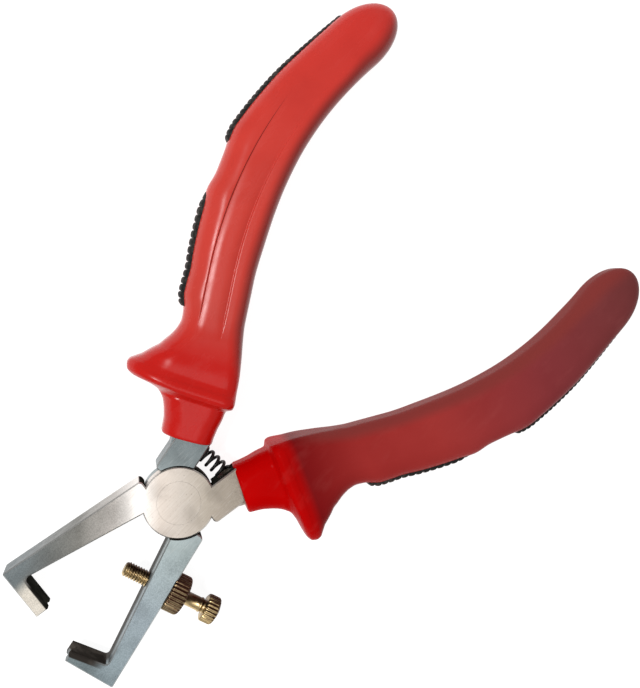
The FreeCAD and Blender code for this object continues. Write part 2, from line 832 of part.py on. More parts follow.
def make_upper_insert(doc, d, label):
    body = new_body(doc, label)
    x, y = upper_insert_centre(d)
    floor = d.bend_radius + d.upper_insert_floor
    top = d.bend_radius + d.upper_insert_top
    start = d.upper_insert_start
    sketch = new_sketch(body, "strip_section", "XZ_Plane", (x, 0, -y), start, Vector(0, 1, 0))
    crowned_section(sketch, d, floor, top)
    revolve(body, "Revolution", "strip", sketch, "V_Axis", d.upper_insert_sweep)

    pitch = d.upper_insert_sweep / d.upper_insert_ribs
    sketch = new_sketch(body, "groove_outline", "XY_Plane", (x, y, 0), start + pitch)
    polygon(sketch, groove_corners(d, top - d.groove_depth))
    groove = extrude(body, "Pocket", "groove", sketch, d.insert_half_width * 3, both_ways=True)
    sweep = d.upper_insert_sweep - pitch * 2
    repeat_round(body, "grooves", groove, sketch, sweep, d.upper_insert_ribs - 1)
    return body


def build():
    doc = FreeCAD.newDocument("wire_stripper")
    d = make_sheet(doc)

    front_back = d.front_reach + d.front_blade_thickness
    rear_tip = front_back + d.blade_gap
    rear_reach = rear_tip - d.rear_blade_taper
    rear_back = rear_tip + d.rear_blade_thickness

    front = make_half(doc, d, "front_jaw_half", d.front_reach, d.front_reach, front_back)
    rear = make_half(doc, d, "rear_jaw_half", rear_reach, rear_tip, rear_back)
    rivet = make_rivet(doc, d)

    # The screw stands square to the middle line of the rear arm, so its nut needs a flat.
    outer_side = (d.arm_root_outer, d.arm_corner_outer, rear_back)
    inner_side = (d.arm_root_inner, d.arm_corner_inner, rear_reach)
    middle_splay = (splay(d, *outer_side) + splay(d, *inner_side)) / 2
    tilt = Size(math.degrees(math.atan(middle_splay.value)), "atan(%s)" % middle_splay.text)
    flat_depth = (d.nut_radius + d.nut_seat_margin) * (middle_splay - splay(d, *outer_side))
    nut_seat = arm_side(d, *outer_side) - flat_depth
    drill_screw_hole(d, rear, nut_seat, tilt)
    screw = make_screw(doc, d, nut_seat - arm_side(d, *inner_side) + d.tip_out)
    nut = make_nut(doc, d)

    # The spring fills the way between the two seats with the tool open.
    swing = d.open_angle / 2
    seat = (d.tang_inner + d.spring_seat_depth) * cosine(swing) + d.spring_y * sine(swing)
    spring_half = seat - d.spring_radius * sine(swing) - d.spring_end_clearance
    spring = make_spring(doc, d, spring_half * 2)

    middle = Vector(0, 0, d.head_thickness.value / 2)
    upright = Vector(0, 0, 1)
    front_place = Placement(middle, Rotation(upright, -swing.value))
    turned_over = Placement(Vector(), Rotation(Vector(0, 1, 0), 180))
    rear_place = Placement(middle, Rotation(upright, swing.value)) * turned_over
    handle = Placement(flat(d.mouth_x, d.mouth_y), Rotation(upright, -d.lean.value))
    screw_axis = Placement(flat(-nut_seat, -d.screw_drop), Rotation(upright, 180 - tilt.value))
    spring_height = d.spring_y * cosine(swing) - (d.tang_inner + d.spring_seat_depth) * sine(swing)
    spring_start = Vector(-spring_half.value, spring_height.value, middle.z)

    front.Placement = front_place
    rear.Placement = rear_place
    rivet.Placement = rear_place
    screw.Placement = rear_place * screw_axis
    nut.Placement = rear_place * screw_axis
    spring.Placement = Placement(spring_start, Rotation(Vector(0, 1, 0), 90))
    pieces = [front, rear, rivet, spring, screw, nut]
    for side, place in (("front", front_place), ("rear", rear_place)):
        sleeve = make_sleeve(doc, d, side + "_grip_sleeve")
        lower = make_lower_insert(doc, d, side + "_lower_grip_insert")
        upper = make_upper_insert(doc, d, side + "_upper_grip_insert")
        for piece in (sleeve, lower, upper):
            piece.Placement = place * handle
            pieces.append(piece)

    doc.recompute()
    for item in doc.Objects:
        if "Invalid" in item.State or "Error" in item.State:
            raise RuntimeError(item.Label + " did not build: " + str(item.State))
    os.makedirs("parts", exist_ok=True)
    for piece in pieces:
        shape = piece.Shape
        if shape.isNull() or not shape.isValid() or len(shape.Solids) != 1:
            raise RuntimeError(piece.Label + " is not one valid solid")
        shape.exportStep("parts/%s.step" % piece.Label)
        box = shape.BoundBox
        print(piece.Label, "volume %.1f" % shape.Volume, "box", [round(v, 2) for v in (
            box.XMin, box.XMax, box.YMin, box.YMax, box.ZMin, box.ZMax)])


build()
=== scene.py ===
import math
from collections import namedtuple

import bpy
import numpy as np
from mathutils import Matrix, Vector


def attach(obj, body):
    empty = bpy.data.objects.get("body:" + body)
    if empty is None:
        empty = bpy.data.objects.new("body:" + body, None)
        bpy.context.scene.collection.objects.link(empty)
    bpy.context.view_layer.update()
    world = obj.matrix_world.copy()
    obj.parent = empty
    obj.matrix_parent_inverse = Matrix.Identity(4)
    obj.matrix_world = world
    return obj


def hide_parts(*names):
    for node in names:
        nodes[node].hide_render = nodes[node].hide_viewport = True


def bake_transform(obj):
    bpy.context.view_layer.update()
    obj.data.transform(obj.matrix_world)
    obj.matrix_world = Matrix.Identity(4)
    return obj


# The looks of an end-type wire stripper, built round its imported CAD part.
# Sizes are millimetres, as in the part's source, and MM turns them into metres.

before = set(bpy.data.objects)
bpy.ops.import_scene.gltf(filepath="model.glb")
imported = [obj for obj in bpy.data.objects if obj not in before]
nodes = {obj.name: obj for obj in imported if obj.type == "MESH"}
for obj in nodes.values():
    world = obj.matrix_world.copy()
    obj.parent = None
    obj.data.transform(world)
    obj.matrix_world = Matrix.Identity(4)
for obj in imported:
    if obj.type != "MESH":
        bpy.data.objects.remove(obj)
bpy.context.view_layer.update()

MM = 0.001
FULL_TURN = 2 * math.pi
WHITE = (1.0, 1.0, 1.0, 1.0)

# The height at which the two halves lap, and how far each of them is open.
MID_HEIGHT = 4.0
HALF_OPEN = math.radians(10.0)

# The line of a handle: where it leaves the head, its lean, its straight run and its bend.
MOUTH_X, MOUTH_Y = 6.85, 13.5
LEAN = math.radians(22.2)
STRAIGHT = 40.3
BEND_RADIUS = 102.5


# Mesh helpers


def add_mesh(name, vertices, faces, material, smooth=True):
    """Makes a mesh piece from points in millimetres in the row frame."""
    mesh = bpy.data.meshes.new(name)
    mesh.from_pydata((np.asarray(vertices) * MM).tolist(), [], faces)
    mesh.validate()
    mesh.polygons.foreach_set("use_smooth", [smooth] * len(mesh.polygons))
    mesh.materials.append(material)
    piece = bpy.data.objects.new(name, mesh)
    bpy.context.scene.collection.objects.link(piece)
    return piece


def ring_faces(first, second, count):
    """Quads between two closed rings of the same number of points."""
    faces = []
    for index in range(count):
        after = (index + 1) % count
        faces.append((first + index, first + after, second + after, second + index))
    return faces


def turned_surface(rings, material, name, place):
    """A closed turned shape along X: each ring is an (n, 3) array, and both ends are capped."""
    count = len(rings[0])
    vertices = list(np.concatenate(rings))
    faces = []
    for index in range(len(rings) - 1):
        faces += ring_faces(index * count, (index + 1) * count, count)
    for ring, flip in ((0, False), (len(rings) - 1, True)):
        centre = len(vertices)
        vertices.append(rings[ring].mean(axis=0))
        for index in range(count):
            a, b = ring * count + index, ring * count + (index + 1) % count
            faces.append((centre, a, b) if flip else (centre, b, a))
    return add_mesh(name, place(np.array(vertices)), faces, material)


def smooth_step(value, low, high):
    """0 up to the low place and 1 from the high one, with a soft change between."""
    share = np.clip((value - low) / (high - low), 0, 1)
    return share * share * (3 - 2 * share)


def smooth_curve(knots, at):
    """A curve through the knots that keeps level at its peaks and ends, and never overshoots."""
    x, y = np.array(knots).T
    step = np.diff(x)
    rise = np.diff(y) / step
    before, after = rise[:-1], rise[1:]
    slope = np.zeros(len(x))
    climbs = before * after > 0
    slope[1:-1][climbs] = (2 * before * after)[climbs] / (before + after)[climbs]
    index = np.clip(np.searchsorted(x, at, side="right") - 1, 0, len(x) - 2)
    gap = step[index]
    t = (at - x[index]) / gap
    level = (1 + 2 * t) * (1 - t) ** 2 * y[index] + t ** 2 * (3 - 2 * t) * y[index + 1]
    return level + gap * t * (1 - t) * ((1 - t) * slope[index] - t * slope[index + 1])


def zigzag(turns):
    """1 at each whole turn and 0 halfway between, in straight lines."""
    return np.abs(turns % 1.0 - 0.5) * 2


# Placing pieces in the row frame


def turn_about_z(points, angle):
    cos, sin = math.cos(angle), math.sin(angle)
    x, y, z = points.T
    return np.stack([x * cos - y * sin, x * sin + y * cos, z], axis=1)


def place_on_half(points, side):
    """From a half drawn shut, with its tang on +X, to its place in the open tool."""
    if side == "rear":
        points = points * (-1, 1, -1)
    points = turn_about_z(points, -HALF_OPEN if side == "front" else HALF_OPEN)
    return points + (0, 0, MID_HEIGHT)


def place_on_handle(points, side):
    """From a handle's own frame, along Y from the mouth of its sleeve, to the row frame."""
    points = turn_about_z(points, -LEAN) + (MOUTH_X, MOUTH_Y, 0)
    return place_on_half(points, side)


def on_handle(along, across, height):
    """Points in the handle's frame, from their distance along its bent line, out from it and up."""
    turn = np.maximum(along - STRAIGHT, 0) / BEND_RADIUS
    reach = BEND_RADIUS + across
    x = reach * np.cos(turn) - BEND_RADIUS
    y = np.minimum(along, STRAIGHT) + reach * np.sin(turn)
    return np.stack(np.broadcast_arrays(x, y, height), axis=-1).reshape(-1, 3)


# Material helpers


class Graph:
    """A material's nodes, with short calls for the few kinds used here."""

    def __init__(self, name):
        self.material = bpy.data.materials.new(name)
        self.material.use_nodes = True
        self.tree = self.material.node_tree
        self.shader = self.tree.nodes["Principled BSDF"]
        self.place = self.tree.nodes.new("ShaderNodeTexCoord").outputs

    def link(self, source, target):
        self.tree.links.new(source, target)

    def fill(self, socket, value):
        """Links a socket to another node's output, or sets it to a plain value."""
        if isinstance(value, bpy.types.NodeSocket):
            self.link(value, socket)
        else:
            socket.default_value = value

    def set(self, **values):
        """Fills the shader's inputs, which are named with an underscore for each space."""
        for name, value in values.items():
            socket = name.replace("_", " ").title().replace("Ior", "IOR")
            self.fill(self.shader.inputs[socket], value)

    def math(self, operation, a, b=0.0):
        node = self.tree.nodes.new("ShaderNodeMath")
        node.operation = operation
        self.fill(node.inputs[0], a)
        self.fill(node.inputs[1], b)
        return node.outputs[0]

    def times(self, a, b):
        return self.math("MULTIPLY", a, b)

    def map_range(self, value, low, high, to_low=0.0, to_high=1.0, curve="SMOOTHSTEP"):
        node = self.tree.nodes.new("ShaderNodeMapRange")
        node.interpolation_type = curve
        limits = {"From Min": low, "From Max": high, "To Min": to_low, "To Max": to_high}
        for name, number in limits.items():
            node.inputs[name].default_value = number
        self.fill(node.inputs["Value"], value)
        return node.outputs["Result"]

    def fade(self, value, change, to_low=0.0, to_high=1.0):
        """A soft change between two places, where it starts and where it is complete."""
        start, full = change
        return self.map_range(value, start * MM, full * MM, to_low, to_high)

    def ramp(self, value, stops):
        """A colour that runs through the given stops, each a place and a colour."""
        low, high = stops[0][0], stops[-1][0]
        node = self.tree.nodes.new("ShaderNodeValToRGB")
        elements = node.color_ramp.elements
        while len(elements) < len(stops):
            elements.new(0.5)
        for element, (place, colour) in zip(elements, stops):
            element.position = (place - low) / (high - low)
            element.color = (*colour, 1.0)
        self.link(self.map_range(value, low * MM, high * MM, curve="LINEAR"), node.inputs["Fac"])
        return node.outputs["Color"]

    def mix(self, share, first, second, mode="MIX"):
        node = self.tree.nodes.new("ShaderNodeMix")
        node.data_type = "RGBA"
        node.blend_type = mode
        self.fill(node.inputs["Factor"], share)
        for name, value in (("A", first), ("B", second)):
            socket = next(s for s in node.inputs if s.name == name and s.type == "RGBA")
            self.fill(socket, (*value, 1.0) if isinstance(value, tuple) else value)
        return next(s for s in node.outputs if s.type == "RGBA")

    def noise(self, scale, detail, rough, stretch=(1, 1, 1)):
        mapping = self.tree.nodes.new("ShaderNodeMapping")
        mapping.inputs["Scale"].default_value = stretch
        self.link(self.place["Object"], mapping.inputs["Vector"])
        node = self.tree.nodes.new("ShaderNodeTexNoise")
        node.inputs["Scale"].default_value = scale
        node.inputs["Detail"].default_value = detail
        node.inputs["Roughness"].default_value = rough
        self.link(mapping.outputs["Vector"], node.inputs["Vector"])
        return node.outputs["Fac"]

    def axes(self):
        node = self.tree.nodes.new("ShaderNodeSeparateXYZ")
        self.link(self.place["Object"], node.inputs[0])
        return node.outputs

    def dot(self, place, direction):
        node = self.tree.nodes.new("ShaderNodeVectorMath")
        node.operation = "DOT_PRODUCT"
        self.link(self.place[place], node.inputs[0])
        node.inputs[1].default_value = direction
        return node.outputs["Value"]

    def along(self, direction):
        """How far a point lies along a direction of the tool, in metres."""
        return self.dot("Object", direction)

    def facing(self, direction):
        """How far the surface faces a direction of the tool, from -1 to 1."""
        return self.dot("Normal", Vector(direction).normalized())

    def bump(self, height, strength, depth):
        """Fine relief in the surface, with its depth in millimetres."""
        node = self.tree.nodes.new("ShaderNodeBump")
        node.inputs["Strength"].default_value = strength
        node.inputs["Distance"].default_value = depth * MM
        self.link(height, node.inputs["Height"])
        self.link(node.outputs["Normal"], self.shader.inputs["Normal"])


# The steel of the two jaw halves and the rivet

Steel = namedtuple("Steel", "name along tones blade sides recess")
Blade = namedtuple("Blade", "tone reach inward edge ground")
Sides = namedtuple("Sides", "facing tone")

# Each half has its own tones along the tool, with painted reflection and shade in them, a blade,
# sides in the jaw opening with painted shade, and painted shade in its recesses. A blade's reach is
# where it begins, across the tool. Its inner edge lies at a distance along the inward direction, and
# a strip of the given width there gets painted shade.
STEELS = {
    "front": Steel(
        name="front_steel_ground",
        along=(0.732, 0.681, 0.0),
        tones=(
            (-36.0, (0.155, 0.177, 0.182)), (-29.0, (0.158, 0.163, 0.155)),
            (-23.0, (0.19, 0.185, 0.168)), (-15.0, (0.46, 0.43, 0.40)),
            (-9.0, (0.93, 0.89, 0.85)), (-4.5, (0.65, 0.575, 0.51)),
            (0.5, (0.53, 0.475, 0.42)), (6.5, (0.41, 0.362, 0.303)),
            (11.0, (0.335, 0.29, 0.24)), (18.0, (0.32, 0.28, 0.23)),
        ),
        blade=Blade(
            tone=(0.66, 0.61, 0.53), reach=(-15.0, -11.0),
            inward=(0.174, 0.985, 0.0), edge=-38.61, ground=0.45,
        ),
        sides=Sides(facing=(1, 0, 0), tone=(0.20, 0.19, 0.18)),
        recess=(0.012, 0.012, 0.010),
    ),
    "rear": Steel(
        name="rear_steel_satin",
        along=(0.0, 1.0, 0.0),
        tones=(
            (-46.0, (0.23, 0.28, 0.30)), (-38.0, (0.29, 0.35, 0.375)),
            (-26.0, (0.32, 0.375, 0.405)), (-8.0, (0.37, 0.43, 0.43)),
            (4.0, (0.24, 0.275, 0.28)), (8.0, (0.19, 0.22, 0.225)),
            (16.0, (0.19, 0.22, 0.225)),
        ),
        blade=Blade(
            tone=(0.175, 0.215, 0.225), reach=(15.0, 11.0),
            inward=(-0.322, 0.947, 0.0), edge=-41.98, ground=1.3,
        ),
        sides=Sides(facing=(-1, 0, 0), tone=(0.10, 0.096, 0.09)),
        recess=(0.035, 0.030, 0.026),
    ),
}

# Where the finish and the painted shade change: out from the pivot, along the tool, up the sides and
# between the tangs.
DISC_RIM = (14.5, 10.5)
BLADE_ROOT = (-34.0, -37.0)
OPENING = (-1.0, -6.0)
SIDE_HEIGHT = (7.0, 3.5)
TANG_GAP = (7.5, 5.5)
TANG_ROOT = (4.0, 7.0)
SHADED_STRIP_BLUR = 0.15

# The tints of wear on the steel, and how much paler the painted shade in its recesses gets in patches.
CLOUD_TINT = (0.62, 0.62, 0.62)
SCRATCH_TINT = (0.55, 0.52, 0.50)
BRIGHT_LINE = (0.80, 0.78, 0.76)
PIT_TINT = (0.50, 0.50, 0.50)
SPECK_TINT = (0.35, 0.33, 0.31)
RUBBED_EDGE = (0.80, 0.79, 0.77)
PALER_SHADE_GAIN = 2.2


def steel(look):
    """Ground steel: a scratched disc and grained arms, with painted reflection and shade in its tones
    and painted shade on its inner sides and in its recesses.
    """
    g = Graph(look.name)
    blade = look.blade
    x, y, z = g.axes()
    scratches = g.noise(scale=900, detail=5, rough=0.62, stretch=(3.2, 0.16, 1))
    grind = g.noise(scale=2600, detail=3, rough=0.6, stretch=(2.6, 0.10, 1))
    clouds = g.noise(scale=160, detail=3, rough=0.5)
    specks = g.noise(scale=2400, detail=2, rough=0.6)
    grain = g.noise(scale=3400, detail=2, rough=0.65)
    level = g.math("ABSOLUTE", g.facing((0, 0, 1)))
    upright = g.map_range(level, 0.60, 0.30)

    # The disc of the joint is scratched. The arms and tangs have a fine blasted grain.
    from_pivot = g.math("SQRT", g.math("ADD", g.times(x, x), g.times(y, y)))
    on_disc = g.fade(from_pivot, DISC_RIM, 0.25, 1.0)
    on_arm = g.math("SUBTRACT", 1.0, on_disc)
    on_blade = g.times(g.fade(x, blade.reach), g.fade(y, BLADE_ROOT))
    # The tones along the tool paint reflection and shade into the faces.
    tone = g.mix(on_blade, g.ramp(g.along(look.along), look.tones), blade.tone)

    # The outer sides keep the tone of the faces. The sides in the jaw opening are duller and darker,
    # with painted shade that deepens towards the bottom.
    inside = g.times(g.fade(y, OPENING), g.map_range(g.facing(look.sides.facing), 0.2, 0.7))
    inside = g.times(inside, g.fade(z, SIDE_HEIGHT, 0.15, 1.0))
    flank = g.mix(inside, tone, look.sides.tone)

    # The faces are clouded, scored, pitted and specked, and rubbed bright along their edges.
    tone = g.mix(g.map_range(clouds, 0.40, 0.70, 0.0, 0.30), tone, CLOUD_TINT, "MULTIPLY")
    scored = g.times(on_disc, g.map_range(scratches, 0.34, 0.60, 0.34, 0.0))
    tone = g.mix(scored, tone, SCRATCH_TINT, "MULTIPLY")
    lines = g.times(on_disc, g.map_range(grind, 0.55, 0.72, 0.0, 0.22))
    tone = g.mix(lines, tone, BRIGHT_LINE)
    pits = g.times(on_arm, g.map_range(grain, 0.40, 0.62, 0.55, 0.0))
    tone = g.mix(pits, tone, PIT_TINT, "MULTIPLY")
    tone = g.mix(g.map_range(specks, 0.64, 0.76, 0.0, 0.5), tone, SPECK_TINT, "MULTIPLY")
    worn = g.times(g.map_range(level, 0.97, 0.90), g.map_range(level, 0.55, 0.65))
    tone = g.mix(g.times(worn, 0.35), tone, RUBBED_EDGE)

    # Painted shade darkens the sides that face the handles and those that lie between the tangs.
    between = g.times(g.fade(g.math("ABSOLUTE", x), TANG_GAP), g.fade(y, TANG_ROOT))
    hidden = g.math("MAXIMUM", g.map_range(g.facing((0, 1, 0)), 0.45, 0.75), between)
    # A narrow strip along the blade's inner edge gets the same painted shade.
    strip = blade.edge - blade.ground
    ground = g.fade(g.along(blade.inward), (strip - SHADED_STRIP_BLUR, strip + SHADED_STRIP_BLUR))
    painted_shade = g.math("MAXIMUM", g.times(hidden, upright), g.times(ground, on_blade))
    paler_shade = tuple(PALER_SHADE_GAIN * channel for channel in look.recess)
    shade = g.mix(g.map_range(clouds, 0.42, 0.62), look.recess, paler_shade)
    g.set(base_color=g.mix(painted_shade, g.mix(upright, tone, flank), shade))

    dull = g.math("MAXIMUM", painted_shade, g.times(g.times(inside, upright), 0.8))
    g.set(metallic=g.math("SUBTRACT", 1.0, dull), specular_ior_level=0.0)
    rough = g.map_range(scratches, 0.3, 0.7, 0.34, 0.46)
    g.set(roughness=g.math("ADD", rough, g.map_range(clouds, 0.4, 0.7, 0.0, 0.08)))
    score = g.times(on_disc, g.math("ADD", scratches, g.times(grind, 0.4)))
    g.bump(g.math("ADD", score, g.times(on_arm, grain)), strength=0.14, depth=0.04)
    return g.material


def dress(node, material):
    """Gives a CAD node its material."""
    node.data.materials.clear()
    node.data.materials.append(material)
    node.data.polygons.foreach_set("material_index", [0] * len(node.data.polygons))


# The red grips: tones from the guard to the end with painted light and shade in them, the inner side's
# painted shade and how glossy the plastic is

Grip = namedtuple("Grip", "along tones inward rim gloss")

GRIPS = {
    "rear": Grip(
        along=(-0.426, 0.905, 0.0),
        tones=(
            (14.0, (0.57, 0.007, 0.004)), (34.0, (0.58, 0.010, 0.006)),
            (46.0, (0.63, 0.056, 0.040)), (76.0, (0.66, 0.052, 0.036)),
            (126.0, (0.65, 0.035, 0.026)),
        ),
        inward=(0.98, 0.2, 0.0),
        rim=(0.22, 0.026, 0.022),
        gloss=0.24,
    ),
    "front": Grip(
        along=(0.426, 0.905, 0.0),
        tones=(
            (14.0, (0.56, 0.001, 0.001)), (24.0, (0.52, 0.001, 0.001)),
            (28.2, (0.48, 0.003, 0.003)), (30.5, (0.21, 0.007, 0.008)),
            (46.0, (0.36, 0.030, 0.027)), (64.0, (0.38, 0.038, 0.034)),
            (96.0, (0.245, 0.038, 0.042)), (126.0, (0.18, 0.043, 0.043)),
        ),
        inward=(-0.98, 0.2, 0.0),
        rim=(0.25, 0.042, 0.037),
        gloss=0.010,
    ),
}
PAST_GUARD = (29.0, 40.0)
MOTTLE_TINT = (0.78, 0.62, 0.62)
SMEAR = (0.70, 0.20, 0.18)


def red_plastic(name, look):
    """Soft glossy grip plastic, with moulding mottle, rubbed smears, painted light and shade along the
    grip and painted shade on its inner side.
    """
    g = Graph(name)
    past_mouth = g.along(look.along)
    mottle = g.noise(scale=70, detail=3, rough=0.5)
    grain = g.noise(scale=1500, detail=3, rough=0.55)
    smears = g.noise(scale=260, detail=4, rough=0.6, stretch=(1, 0.35, 1))
    # The tones along the grip paint light and shade over the red's own colour; the front grip's are
    # darker, painted shade.
    tone = g.ramp(past_mouth, look.tones)
    tone = g.mix(g.map_range(mottle, 0.40, 0.68, 0.0, 0.30), tone, MOTTLE_TINT, "MULTIPLY")
    tone = g.mix(g.map_range(smears, 0.52, 0.74, 0.0, 0.04), tone, SMEAR)
    # Painted shade darkens the inner side past the guard.
    shaded_inner_side = g.map_range(g.facing(look.inward), 0.12, 0.75, 0.0, 0.9)
    tone = g.mix(g.times(shaded_inner_side, g.fade(past_mouth, PAST_GUARD)), tone, look.rim)
    g.set(base_color=tone, specular_ior_level=look.gloss)
    g.set(roughness=g.map_range(smears, 0.3, 0.7, 0.20, 0.30))
    g.bump(g.math("ADD", grain, g.times(mottle, 2.0)), strength=0.10, depth=0.08)
    return g.material


# How a sleeve's outline changes along the handle, as distances from its mouth and the sizes there.
INNER = (
    (0.0, 6.3), (4.0, 6.8), (7.0, 7.5), (9.3, 7.9), (10.3, 9.0), (12.0, 9.25),
    (16.0, 9.25), (22.0, 8.8), (26.0, 8.35), (30.0, 8.05), (40.0, 8.05), (50.0, 8.3),
    (66.0, 7.8), (78.0, 7.35), (90.0, 7.2), (106.0, 7.3),
)
OUTER = (
    (0.0, 6.1), (3.0, 6.15), (5.0, 6.5), (7.5, 7.35), (9.4, 9.0), (10.2, 11.3),
    (11.0, 15.8), (12.0, 17.1), (13.2, 17.3), (14.2, 16.9), (15.2, 15.8), (16.6, 14.3),
    (18.1, 13.2), (19.6, 12.0), (20.8, 10.8), (22.0, 9.9), (24.0, 8.3), (26.0, 7.2),
    (28.0, 6.7), (30.0, 6.8), (32.0, 7.3), (34.0, 7.75), (37.0, 7.65), (40.0, 7.45),
    (44.0, 7.7), (50.0, 8.05), (54.0, 8.3), (58.0, 8.85), (62.0, 8.4), (65.0, 8.55),
    (68.0, 8.9), (70.0, 9.3), (72.5, 9.5), (76.0, 9.2), (82.0, 8.65), (88.0, 8.15),
    (94.0, 7.55), (100.0, 7.15), (106.0, 7.0),
)
HALF_HEIGHT = (
    (0.0, 6.3), (5.0, 6.55), (9.2, 6.75), (9.8, 7.4), (10.5, 8.3), (11.5, 8.68),
    (12.5, 8.5), (13.6, 7.95), (14.8, 7.65), (16.5, 7.6), (20.5, 7.1), (24.0, 6.75),
    (28.0, 6.5), (104.0, 6.5), (106.0, 6.45),
)
OUTER_ROUNDING = (
    (0.0, 5.0), (8.5, 5.0), (11.0, 10.5), (13.5, 10.5), (20.0, 6.0), (32.0, 5.6),
    (66.0, 5.6), (74.0, 6.0), (98.0, 6.0), (106.0, 5.2),
)
INNER_ROUNDING = (
    (0.0, 5.0), (8.5, 4.6), (11.0, 3.2), (15.0, 3.2), (28.0, 4.2), (96.0, 4.2), (106.0, 5.2),
)
# A rounding takes at most this share of the section's half height.
MOST_DROP = 0.85
# The guard leans along the handle by these degrees.
TILT = ((0.0, 4.0), (9.0, 7.0), (14.0, 7.0), (22.0, 0.0), (106.0, 0.0))

# The runs of rings along a sleeve, with the most at the guard, and the points round a ring.
RUNS = ((0.7, 8.0, 16), (8.0, 16.0, 64), (16.0, 30.0, 32), (30.0, 106.0, 96))
FACE_POINTS = (8, 4, 24, 4, 8)
SIDE_POINTS, CORNER_POINTS = 5, 12

# The turned-in mouth and the rounded end.
MOUTH_ROUND, MOUTH_REACH, MOUTH_STEPS = 0.7, 6.2, 6
CAP_FROM, CAP_LENGTH, CAP_STEPS = 106.0, 11.8, 28

# The panel in one face: its two edges, its ends, how soon it sinks and comes up again, and its floor.
PANEL_INNER, PANEL_OUTER = -2.65, 3.1
PANEL_FROM, PANEL_TO = 24.5, 92.0
PANEL_SINKS_IN, PANEL_RISES_IN = 7.0, 42.0
PANEL_FLOOR, PANEL_CROWN = -5.98, 0.52
PANEL_EDGE = 0.18


def section(inner, outer, half_height, inner_rounding, outer_rounding, panel):
    """A sleeve's section as across and height, round from the middle of the outer side."""
    left, right = inner_rounding - inner, outer - outer_rounding
    inner_drop, outer_drop = np.minimum((inner_rounding, outer_rounding), MOST_DROP * half_height)
    # The last thirty degrees of each rounding belong to the face, whose points
    # follow the edges of the panel, which keeps these sharp.
    low, high = panel
    places = (
        right + outer_rounding / 2, high + PANEL_EDGE, high,
        low, low - PANEL_EDGE, left - inner_rounding / 2,
    )
    runs = zip(places, places[1:], FACE_POINTS)
    face = [np.linspace(a, b, n, endpoint=False) for a, b, n in runs]
    face = np.concatenate(face + [places[-1:]])
    past_outer = np.maximum(face - right, 0) / outer_rounding
    past_inner = np.maximum(left - face, 0) / inner_rounding
    sunk = outer_drop * (1 - np.sqrt(1 - past_outer ** 2))
    sunk = sunk + inner_drop * (1 - np.sqrt(1 - past_inner ** 2))
    corner = np.linspace(0, math.pi / 3, CORNER_POINTS, endpoint=False)
    back = corner[::-1]
    side = np.linspace(0, 1, SIDE_POINTS, endpoint=False)
    outer_side, inner_side = half_height - outer_drop, half_height - inner_drop
    upper = (
        (outer, outer_side * side),
        (right + outer_rounding * np.cos(corner), outer_side + outer_drop * np.sin(corner)),
        (face, half_height - sunk),
        (left - inner_rounding * np.cos(back), inner_side + inner_drop * np.sin(back)),
        (-inner, inner_side * side[:0:-1]),
    )
    upper = np.concatenate([np.stack(np.broadcast_arrays(x, z), axis=1) for x, z in upper])
    return np.concatenate([upper, [(-inner, 0.0)], upper[:0:-1] * (1, -1)])


def sink_panel(places, across, height):
    """Presses the long shallow panel into the -Z face, with a floor that bulges in the middle."""
    middle, half = (PANEL_OUTER + PANEL_INNER) / 2, (PANEL_OUTER - PANEL_INNER) / 2
    floor = PANEL_FLOOR - PANEL_CROWN * np.clip(1 - ((across - middle) / half) ** 2, 0, 1)
    share = smooth_step(across, PANEL_INNER - PANEL_EDGE, PANEL_INNER)
    share = share * (1 - smooth_step(across, PANEL_OUTER, PANEL_OUTER + PANEL_EDGE))
    ends = smooth_step(places, PANEL_FROM, PANEL_FROM + PANEL_SINKS_IN)
    ends = ends * (1 - smooth_step(places, PANEL_TO - PANEL_RISES_IN, PANEL_TO))
    sunk = np.maximum(height, floor) - height
    return np.where(height < 0, height + share * ends[:, None] * sunk, height)


def sleeve_rings():
    """Rings round the sleeve: how far every point lies along the handle, across it and up."""
    places = [np.linspace(a, b, n, endpoint=False) for a, b, n in RUNS]
    places = np.concatenate(places + [[CAP_FROM]])
    profiles = (INNER, OUTER, HALF_HEIGHT, INNER_ROUNDING, OUTER_ROUNDING)
    sizes = [smooth_curve(knots, places) for knots in profiles]
    # Towards the end the points move to places alike on both sides of the middle.
    middle = (OUTER[-1][1] - INNER[-1][1]) / 2
    settle = (PANEL_TO, CAP_FROM)
    low = np.interp(places, settle, (PANEL_INNER, middle - PANEL_OUTER))
    high = np.interp(places, settle, (PANEL_OUTER, middle + PANEL_OUTER))
    outlines = np.array([section(*size, panel) for *size, panel in zip(*sizes, zip(low, high))])
    across = outlines[:, :, 0]
    height = sink_panel(places, across, outlines[:, :, 1])
    along = places[:, None] + across * np.tan(np.radians(smooth_curve(TILT, places)))[:, None]
    # The mouth turns in with a small round.
    turn = np.linspace(0, math.pi / 2, MOUTH_STEPS)[:-1, None]
    shrink = 1 - MOUTH_ROUND * (1 - np.sin(turn)) / MOUTH_REACH
    along = np.concatenate([along[:1] - MOUTH_ROUND * np.cos(turn), along])
    across = np.concatenate([across[:1] * shrink, across])
    height = np.concatenate([height[:1] * shrink, height])
    return along, across, height


def round_end(across, height, first, start):
    """The rounded end: the outer half of the last ring swung over to its inner half."""
    count = len(across)
    half = count // 2
    # The ring starts at the middle of the outer side, so its outer half is its first and last quarter.
    order = np.arange(half + 1) - count // 4
    middle = (across.max() + across.min()) / 2
    reach = across[order] - middle
    swing = np.pi * np.arange(1, CAP_STEPS)[:, None] / CAP_STEPS
    # All the arcs share their two ends, which are points of the ring itself.
    inner = slice(1, -1)
    forward = CAP_FROM + CAP_LENGTH * np.sin(swing) * reach[inner] / reach.max()
    points = on_handle(forward, middle + reach[inner] * np.cos(swing), height[order[inner]])
    bottom, top = first + order[[0, -1]] % count
    columns = [first + order % count]
    for step in range(CAP_STEPS - 1):
        columns.append([bottom, *(start + step * (half - 1) + np.arange(half - 1)), top])
    columns.append(first + (half - order) % count)
    faces = []
    for left, right in zip(columns, columns[1:]):
        for k in range(half):
            corners = (left[k], right[k], right[k + 1], left[k + 1])
            faces.append(tuple(dict.fromkeys(int(corner) for corner in corners)))
    return points, faces


